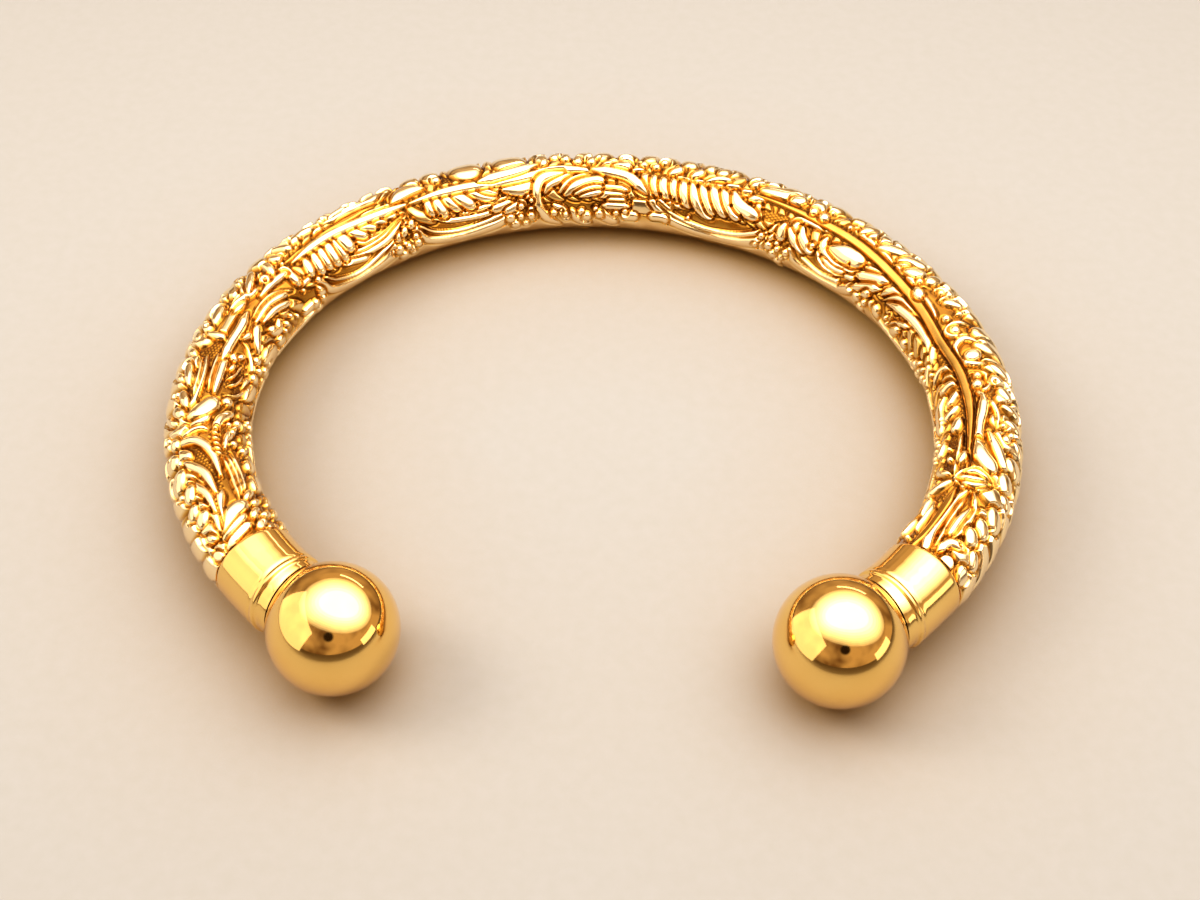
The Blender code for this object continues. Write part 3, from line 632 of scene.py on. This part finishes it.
def soften():
    """Round every edge of the relief by averaging each point with its neighbours."""
    for axis in (0, 1):
        relief[:] = (np.roll(relief, 1, axis) + 2.0 * relief + np.roll(relief, -1, axis)) / 4.0


def make_relief():
    """All of the ornament, from the ground up: what is pressed later lies on top."""
    relief[:] = 0.02 * np.sin(sheet_run[None, :] * 1.9) * np.sin(sheet_round[:, None] * 2.3)
    relief[:] += plain_rise(sheet_angle)[:, None]
    press_leaf_bed()
    for row in PUNCHED_GROUND:
        punch_ground(*row)
    press_gadroons()
    for row in PLATES:
        raise_plate(*row)
    for rows, taper, spread in (
        (SHIELDS, lobe_taper, LOBE_SPREAD),
        (SWAG_RIMS, rim_taper, RIM_SPREAD),
        (STRANDS, strand_taper, STRAND_SPREAD),
        (LOBES, lobe_taper, LOBE_SPREAD),
    ):
        for row in rows:
            press_row(row, taper, spread)
    for row in BANDS:
        press_band(row)
    for rows, taper, spread in ((STEMS, strand_taper, STEM_SPREAD), (ALMONDS, almond_taper, ALMOND_SPREAD)):
        for row in rows:
            press_row(row, taper, spread)
    for row in BEADS:
        press_bead(*row)
    for run, angle, across, deep, radius in BEAD_CLUSTERS:
        press_cluster(run, angle, across, deep, radius)
    for row in PITS:
        sink_pit(*row)
    soften()
    # Hand finishing leaves the forms a little uneven
    wander = np.sin(sheet_run[None, :] * 1.9 + 1.4 * np.sin(sheet_round[:, None] * 1.1))
    relief[:] += UNEVENNESS * wander * np.sin(sheet_round[:, None] * 1.7 + sheet_run[None, :] * 0.6)


def grid_mesh(name, points, normals, heights=None):
    """A smooth mesh from rows of points, closed round from its last column to its first."""
    rows, columns = points.shape[:2]
    index = np.arange(rows * columns).reshape(rows, columns)
    after = np.roll(index, -1, axis=1)
    quads = np.stack([index[:-1], index[1:], after[1:], after[:-1]], axis=-1).reshape(-1, 4)
    mesh = bpy.data.meshes.new(name)
    mesh.vertices.add(rows * columns)
    mesh.vertices.foreach_set("co", (points.reshape(-1) * MM).astype(np.float32))
    mesh.loops.add(quads.size)
    mesh.loops.foreach_set("vertex_index", quads.reshape(-1).astype(np.int32))
    mesh.polygons.add(len(quads))
    mesh.polygons.foreach_set("loop_start", np.arange(0, quads.size, 4, dtype=np.int32))
    mesh.update(calc_edges=True)
    mesh.shade_smooth()
    if heights is not None:
        layer = mesh.attributes.new("relief_height", "FLOAT", "POINT")
        layer.data.foreach_set("value", heights.reshape(-1).astype(np.float32))
    if normals is not None:
        mesh.normals_split_custom_set_from_vertices(normals.reshape(-1, 3).tolist())
    return mesh


def surface_normals(points):
    """Outward normals of rows of points that close round, from the differences across each point."""
    forward = np.gradient(points, axis=0)
    sideways = np.roll(points, -1, axis=1) - np.roll(points, 1, axis=1)
    normals = np.cross(forward, sideways)
    return normals / np.maximum(np.linalg.norm(normals, axis=-1, keepdims=True), 1e-9)


def place_piece(name, mesh, node, material):
    """Put a finished mesh on the cuff's body in place of its plain solid."""
    mesh.materials.append(material)
    piece = bpy.data.objects.new(name, mesh)
    bpy.context.scene.collection.objects.link(piece)
    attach(piece, "root")
    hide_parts(node)


def make_hoop(material):
    """The cast bar in five stretches, each from one column of the sheet to another."""
    make_relief()
    under = np.arange(2, int((180.0 - SHEET_REACH) / (sheet_angle[1] - sheet_angle[0])), 2)
    outer_under = SHEET_ROWS - 1 - under
    sheet_rows = np.concatenate([under[::-1], np.arange(SHEET_ROWS), outer_under])
    outer_angles = 2.0 * SHEET_REACH - sheet_angle[outer_under]
    all_angles = np.concatenate([-outer_angles[::-1], sheet_angle, outer_angles])
    angles = np.radians(all_angles)
    filed = np.clip((180.0 - np.abs(all_angles)) / FILED_ANGLE, 0.0, 1.0)
    heights = (relief[sheet_rows] * filed[:, None]).T
    from_end = np.clip((RELIEF_END - np.abs(sheet_run)) / END_SLOPE_LENGTH, 0.0, 1.0)
    tallest_radius = END_RADIUS + (BAR_OUTER_RADIUS - END_RADIUS) * from_end
    radius = np.minimum(GROUND_RADIUS + heights, tallest_radius[:, None])
    points = on_bar(sheet_run[:, None], radius, angles[None, :])
    # Each end of the bar turns in to its face and to the spigot inside the collar
    ends = []
    for side in (-1, 1):
        rings = []
        for past, ring_radius in END_RINGS:
            run = side * (RELIEF_END + past)
            rings.append(on_bar(np.full(len(angles), run), np.full(len(angles), ring_radius), angles))
        ends.append(np.array(rings if side > 0 else rings[::-1]))
    points = np.concatenate([ends[0], points, ends[1]])
    flat = np.zeros((len(ends[0]), len(angles)))
    depth = np.concatenate([flat, heights, flat])
    normals = surface_normals(points)
    cuts = np.linspace(0, len(points) - 1, HOOP_STRETCHES + 1).round().astype(int)
    for number, (start, end) in enumerate(zip(cuts, cuts[1:]), 1):
        stretch = slice(start, end + 1)
        mesh = grid_mesh("hoop_relief", points[stretch], normals[stretch], depth[stretch])
        place_piece("hoop_relief_" + str(number), mesh, "hoop", material)


# The collar's outline from the bar to the ball: mm past the end of the bar, radius in mm
COLLAR_OUTLINE = (
    (0.20, 1.90), (0.20, 3.50), (0.21, 3.66), (0.26, 3.73), (0.40, 3.75), (1.20, 3.735), (2.40, 3.72),
    (3.60, 3.73), (4.15, 3.745), (4.30, 3.73), (4.36, 3.66), (4.40, 3.62), (4.46, 3.68), (4.56, 3.76),
    (4.68, 3.79), (4.80, 3.765), (4.89, 3.68), (4.93, 3.56), (4.97, 3.50), (5.05, 3.52), (5.24, 3.51),
    (5.60, 3.48), (5.95, 3.40), (6.05, 3.20), (5.90, 2.90), (5.50, 2.50), (5.00, 1.90),
)
BALL_SEAT_GAP = 0.08
COLLAR_RINGS = 110
COLLAR_SIDES = 112
BALL_RINGS = 81
BALL_SIDES = 160


def make_collar(label, side, material):
    """A polished ferrule that follows the ring's curve, with a beaded rim and a soft second step."""
    outline = np.array(COLLAR_OUTLINE)
    length = np.concatenate([[0.0], np.cumsum(np.hypot(*np.diff(outline, axis=0).T))])
    even = np.linspace(0.0, length[-1], COLLAR_RINGS)
    run = side * (HALF_BAR_LENGTH + np.interp(even, length, outline[:, 0]))
    radius = np.interp(even, length, outline[:, 1])
    kernel = np.array([1, 2, 3, 2, 1]) / 9.0
    radius[2:-2] = np.convolve(radius, kernel, "valid")
    angles = np.linspace(-math.pi, math.pi, COLLAR_SIDES, endpoint=False)
    points = on_bar(run[:, None], radius[:, None] * np.ones(len(angles)), angles[None, :])
    # The last ring is seated on the ball: what would reach into the ball is laid along its surface
    ball_centre = lay_down(*centre_line(side * BALL_RUN)[0], np.array(0.0))
    from_ball = points - ball_centre
    distance = np.linalg.norm(from_ball, axis=-1, keepdims=True)
    points = ball_centre + from_ball * np.maximum(1.0, (BALL_RADIUS + BALL_SEAT_GAP) / distance)
    normals = surface_normals(points) * side
    if side < 0:
        points = points[::-1]
        normals = normals[::-1]
    mesh = grid_mesh("collar", points, normals)
    place_piece("turned_collar_" + label, mesh, "collar_" + label, material)


def make_ball(label, side, material):
    """A mirror-polished ball with the small worn flat that it rests on."""
    centre = lay_down(*centre_line(side * BALL_RUN)[0], np.array(0.0))
    polar = np.linspace(math.pi, 0.0, BALL_RINGS)[:, None]
    around = np.linspace(0.0, math.tau, BALL_SIDES, endpoint=False)[None, :]
    normals = np.stack([np.sin(polar) * np.cos(around), np.sin(polar) * np.sin(around),
                        -np.cos(polar) * np.ones_like(around)], axis=-1)
    points = centre + normals * BALL_RADIUS
    points[..., 2] = np.maximum(points[..., 2], 0.0)
    mesh = grid_mesh("ball", points, normals)
    place_piece("polished_ball_" + label, mesh, "ball_" + label, material)


def linear(hex_colour):
    """An sRGB colour such as #D9A441 as the linear values that Blender's shaders take."""
    values = np.array([int(hex_colour[start:start + 2], 16) / 255.0 for start in (1, 3, 5)])
    shares = np.where(values <= 0.04045, values / 12.92, ((values + 0.055) / 1.055) ** 2.4)
    return [*shares.tolist(), 1.0]


def add(tree, kind, settings=None, stops=(), **feeds):
    """Add a node with its settings and colour stops, each input linked to a socket or set to a value."""
    made = tree.nodes.new(kind)
    for name, value in (settings or {}).items():
        setattr(made, name, value)
    for number, (place, colour) in enumerate(stops):
        shades = made.color_ramp.elements
        stop = shades[number] if number < 2 else shades.new(place)
        stop.position = place
        stop.color = linear(colour)
    for name, value in feeds.items():
        socket = made.inputs[name.replace("_", " ")]
        if isinstance(value, bpy.types.NodeSocket):
            tree.links.new(value, socket)
        else:
            socket.default_value = value
    return made


def per_mm(size):
    """Texture scale, in repeats for each metre of the object, that draws details of this size in mm."""
    return 1.0 / (size * MM)


def new_material(name):
    """An empty material with its shader."""
    material = bpy.data.materials.new(name)
    material.use_nodes = True
    return material, material.node_tree, material.node_tree.nodes["Principled BSDF"]


def mirror_polished_gold():
    """Gold plate over brass, buffed to a mirror: sharp reflections, faint wiping marks, soft clouds."""
    material, tree, shader = new_material("mirror_polished_gold")
    place = add(tree, "ShaderNodeTexCoord").outputs["Object"]
    clouds = add(tree, "ShaderNodeTexNoise", Vector=place, Scale=per_mm(6.0), Detail=3.0).outputs["Fac"]
    golds = ((0.35, "#F1C26B"), (0.65, "#F5C974"))
    colour = add(tree, "ShaderNodeValToRGB", stops=golds, Fac=clouds).outputs["Color"]
    stretched = add(tree, "ShaderNodeMapping", Vector=place, Scale=(1.0, 0.12, 0.3)).outputs["Vector"]
    scratches = add(tree, "ShaderNodeTexNoise", Vector=stretched, Scale=per_mm(0.25), Detail=4.0)
    wear = add(tree, "ShaderNodeMapRange", Value=clouds, From_Min=0.3, From_Max=0.7, To_Min=0.05,
               To_Max=0.10)
    bump = add(tree, "ShaderNodeBump", Height=scratches.outputs["Fac"], Strength=0.012, Distance=0.02 * MM)
    shader.inputs["Metallic"].default_value = 1.0
    tree.links.new(colour, shader.inputs["Base Color"])
    tree.links.new(wear.outputs["Result"], shader.inputs["Roughness"])
    tree.links.new(bump.outputs["Normal"], shader.inputs["Normal"])
    return material


def cast_gold_painted_shade():
    """Gold plate over a brass casting, coloured by the relief's height: painted shade darkens the hollows
    and a painted highlight whitens the tops. The hollows are also duller and rougher.
    """
    material, tree, shader = new_material("cast_gold_painted_shade")
    place = add(tree, "ShaderNodeTexCoord").outputs["Object"]
    height = add(tree, "ShaderNodeAttribute", {"attribute_name": "relief_height"}).outputs["Fac"]
    level = add(tree, "ShaderNodeMapRange", Value=height, From_Min=-0.14, From_Max=0.42).outputs["Result"]
    clouds = add(tree, "ShaderNodeTexNoise", Vector=place, Scale=per_mm(1.5), Detail=3.0).outputs["Fac"]
    painted_shade_and_mottle = add(tree, "ShaderNodeMath", {"operation": "MULTIPLY_ADD"})
    tree.links.new(clouds, painted_shade_and_mottle.inputs[0])
    painted_shade_and_mottle.inputs[1].default_value = 0.12
    tree.links.new(level, painted_shade_and_mottle.inputs[2])
    # Colour stops by height: painted shade, near black-brown, in the hollows, rising to a whitish painted
    # highlight on the tops
    golds = ((0.06, "#54300A"), (0.95, "#FDE2AE"), (0.24, "#925C18"),
             (0.42, "#BC822E"), (0.65, "#DFAE58"))
    colour = add(tree, "ShaderNodeValToRGB", stops=golds, Fac=painted_shade_and_mottle.outputs["Value"]).outputs["Color"]
    grain = add(tree, "ShaderNodeTexNoise", Vector=place, Scale=per_mm(0.18), Detail=3.0).outputs["Fac"]
    dull = add(tree, "ShaderNodeMapRange", Value=painted_shade_and_mottle.outputs["Value"], From_Min=0.1, From_Max=0.9,
               To_Min=0.25, To_Max=0.07)
    bump = add(tree, "ShaderNodeBump", Height=grain, Strength=0.06, Distance=0.02 * MM)
    shader.inputs["Metallic"].default_value = 1.0
    tree.links.new(colour, shader.inputs["Base Color"])
    tree.links.new(dull.outputs["Result"], shader.inputs["Roughness"])
    tree.links.new(bump.outputs["Normal"], shader.inputs["Normal"])
    return material


def matt_beige_board():
    """Matt card, warm beige, with the faintest fibre mottle, and a painted shadow tinted with the gold's
    colour where the cuff shelters the board.
    """
    material, tree, shader = new_material("matt_beige_board")
    place = add(tree, "ShaderNodeTexCoord").outputs["Object"]
    mottle = add(tree, "ShaderNodeTexNoise", Vector=place, Scale=per_mm(1.2), Detail=4.0).outputs["Fac"]
    beiges = ((0.30, "#868077"), (0.70, "#88827A"))
    colour = add(tree, "ShaderNodeValToRGB", stops=beiges, Fac=mottle).outputs["Color"]
    # Close under the cuff, where the board is sheltered, a painted shadow darkens the board to a warm
    # brown, like light thrown back from the gold
    openness = add(tree, "ShaderNodeAmbientOcclusion", {"samples": 4}, Distance=22.0 * MM).outputs["AO"]
    open_share = add(tree, "ShaderNodeMapRange", Value=openness, From_Min=0.22, From_Max=0.98)
    painted_contact_shadow = add(tree, "ShaderNodeMixRGB", Fac=open_share.outputs["Result"], Color1=linear("#836230"),
                 Color2=colour)
    tree.links.new(painted_contact_shadow.outputs["Color"], shader.inputs["Base Color"])
    shader.inputs["Roughness"].default_value = 0.85
    shader.inputs["Specular IOR Level"].default_value = 0.2
    return material


# The floor: a flat board whose far edges rise, so that a polished ball sees a bright rim all round it
FLOOR_FLAT_RADIUS = 260.0
FLOOR_RADIUS = 700.0
BACK_EDGE_RISE = 20.0
FRONT_EDGE_RISE = 110.0
FLOOR_CLEARANCE = 0.01
FLOOR_FLAT_RINGS = 20
FLOOR_RISING_RINGS = 24
FLOOR_SIDES = 96


def make_floor(material):
    """A round board, flat under the cuff and swept up beyond."""
    flat_rings = np.linspace(0.0, FLOOR_FLAT_RADIUS, FLOOR_FLAT_RINGS)
    rising_rings = np.linspace(FLOOR_FLAT_RADIUS, FLOOR_RADIUS, FLOOR_RISING_RINGS)[1:]
    reach = np.concatenate([flat_rings, rising_rings])
    around = np.linspace(0.0, math.tau, FLOOR_SIDES, endpoint=False)
    front = 0.5 - 0.5 * np.sin(around)
    sweep = np.clip((reach - FLOOR_FLAT_RADIUS) / (FLOOR_RADIUS - FLOOR_FLAT_RADIUS), 0.0, 1.0) ** 2
    height = sweep[:, None] * (BACK_EDGE_RISE + FRONT_EDGE_RISE * front[None, :]) - FLOOR_CLEARANCE
    points = np.stack([reach[:, None] * np.cos(around), reach[:, None] * np.sin(around), height], axis=-1)
    mesh = grid_mesh("floor", points, None)
    mesh.materials.append(material)
    floor = bpy.data.objects.new("floor_board", mesh)
    bpy.context.scene.collection.objects.link(floor)


def add_light(name, at, toward, size, power, colour, shape="ELLIPSE"):
    """A soft panel light. Places and sizes are in mm."""
    light = bpy.data.lights.new(name, "AREA")
    light.shape = shape
    light.size = size[0] * MM
    light.size_y = size[1] * MM
    light.energy = power
    light.color = linear(colour)[:3]
    lamp = bpy.data.objects.new(name, light)
    away = np.array(at, float) - np.array(toward, float)
    away /= np.linalg.norm(away)
    side = np.cross((0.0, 1.0, 0.0) if abs(away[2]) > 0.9 else (0.0, 0.0, 1.0), away)
    side /= np.linalg.norm(side)
    turned = np.eye(4)
    turned[:3, 0] = side
    turned[:3, 1] = np.cross(away, side)
    turned[:3, 2] = away
    turned[:3, 3] = np.array(at) * MM
    lamp.matrix_world = Matrix(turned.tolist())
    bpy.context.scene.collection.objects.link(lamp)
    return lamp


# The overhead panel is brightest near its middle: ellipses of even brightness, one within the other.
# Each is its width and depth in mm and the light that it adds, in watts for each square metre. The wider
# it is, the further its middle lies to the right and the back.
OVERHEAD_HEIGHT = 190.0
NARROWEST_PANEL = 240.0
WIDEST_PANEL = 700.0
NARROWEST_MIDDLE = (45.0, 5.0)
WIDEST_DRIFT = (70.0, 45.0)
OVERHEAD_PANELS = (
    (700.0, 500.0, 1.7), (634.0, 452.0, 1.3), (568.0, 404.0, 1.4), (502.0, 356.0, 1.6),
    (436.0, 309.0, 2.2), (371.0, 261.0, 2.8), (306.0, 213.0, 3.6), (240.0, 165.0, 4.8),
)

# The way from the cuff to the one dark opening in the room, which a polished ball shows as a spot
WAY_TO_OPENING = (0.026, -0.754, 0.656)


def make_studio():
    """A big round overhead panel, a panel on the left, a small one on the right, and a dim warm room."""
    for number, (width, depth, strength) in enumerate(OVERHEAD_PANELS):
        outward = (width - NARROWEST_PANEL) / (WIDEST_PANEL - NARROWEST_PANEL)
        middle = [start + drift * outward for start, drift in zip(NARROWEST_MIDDLE, WIDEST_DRIFT)]
        above = (*middle, OVERHEAD_HEIGHT - number)
        power = strength * math.pi / 4.0 * width * depth * MM * MM
        name = "overhead_softbox_" + str(number)
        add_light(name, above, (*middle, 0.0), (width, depth), power, "#FFFFFF")
    add_light("left_softbox", (-350, -60, 160), (0, -10, 20), (600, 380), 1.05, "#FFF4E4", "RECTANGLE")
    wash = add_light("left_floor_wash", (-260, 20, 220), (-80, 0, 0), (160, 160), 1.05, "#FFFFFF")
    wash.visible_glossy = False
    add_light("right_softbox", (370, -150, 80), (0, -20, 10), (220, 80), 0.10, "#FFF6E8", "RECTANGLE")
    add_light("back_strip", (130, 400, 185), (0, 0, 10), (260, 20), 0.06, "#FFFFFF", "RECTANGLE")
    world = bpy.data.worlds.new("dim_room")
    bpy.context.scene.world = world
    world.use_nodes = True
    tree = world.node_tree
    way = add(tree, "ShaderNodeTexCoord").outputs["Generated"]
    patches = add(tree, "ShaderNodeTexNoise", Vector=way, Scale=1.6, Detail=2.0).outputs["Fac"]
    browns = ((0.38, "#7C5B3C"), (0.62, "#DDB98F"))
    room = add(tree, "ShaderNodeValToRGB", stops=browns, Fac=patches).outputs["Color"]
    toward = add(tree, "ShaderNodeVectorMath", {"operation": "DOT_PRODUCT"})
    tree.links.new(way, toward.inputs[0])
    toward.inputs[1].default_value = WAY_TO_OPENING
    opening = add(tree, "ShaderNodeMapRange", Value=toward.outputs["Value"], From_Min=0.985, From_Max=0.993)
    shaded = add(tree, "ShaderNodeMixRGB", Fac=opening.outputs["Result"], Color1=room,
                 Color2=linear("#2A1C10"))
    tree.links.new(shaded.outputs["Color"], tree.nodes["Background"].inputs["Color"])


# The camera, fitted to the balls, the seams and the outline in the photograph
LENS_PIXELS = 1750.0
IMAGE_WIDTH = 1200.0
SENSOR_WIDTH = 36.0
CAMERA_ELEVATION = 48.005
CAMERA_AZIMUTH = 0.871
CAMERA_ROLL = 0.700
CAMERA_DISTANCE = 160.583
FRAME_SHIFT = (0.00535, -0.0333)


def make_camera():
    """Stand the camera where the photograph was taken from."""
    rise = math.radians(CAMERA_ELEVATION)
    turn = math.radians(CAMERA_AZIMUTH)
    back = np.array([math.sin(turn) * math.cos(rise), -math.cos(turn) * math.cos(rise), math.sin(rise)])
    right = np.array([math.cos(turn), math.sin(turn), 0.0])
    up = np.cross(back, right)
    roll = math.radians(CAMERA_ROLL)
    stand = np.eye(4)
    stand[:3, 0] = math.cos(roll) * right + math.sin(roll) * up
    stand[:3, 1] = -math.sin(roll) * right + math.cos(roll) * up
    stand[:3, 2] = back
    stand[:3, 3] = (np.array([0.0, RING_CENTRE_Y, RING_CENTRE_HEIGHT]) + back * CAMERA_DISTANCE) * MM
    lens = bpy.data.cameras.new("camera")
    lens.sensor_width = SENSOR_WIDTH
    lens.lens = SENSOR_WIDTH * LENS_PIXELS / IMAGE_WIDTH
    lens.shift_x, lens.shift_y = FRAME_SHIFT
    lens.clip_start = 0.005
    camera = bpy.data.objects.new("camera", lens)
    camera.matrix_world = Matrix(stand.tolist())
    bpy.context.scene.collection.objects.link(camera)
    bpy.context.scene.camera = camera


cast_gold = cast_gold_painted_shade()
polished_gold = mirror_polished_gold()
make_hoop(cast_gold)
for side_name, side_sign in (("left", -1), ("right", 1)):
    make_collar(side_name, side_sign, polished_gold)
    make_ball(side_name, side_sign, polished_gold)
make_floor(matt_beige_board())
make_studio()
make_camera()
bpy.context.scene.view_settings.view_transform = "Standard"
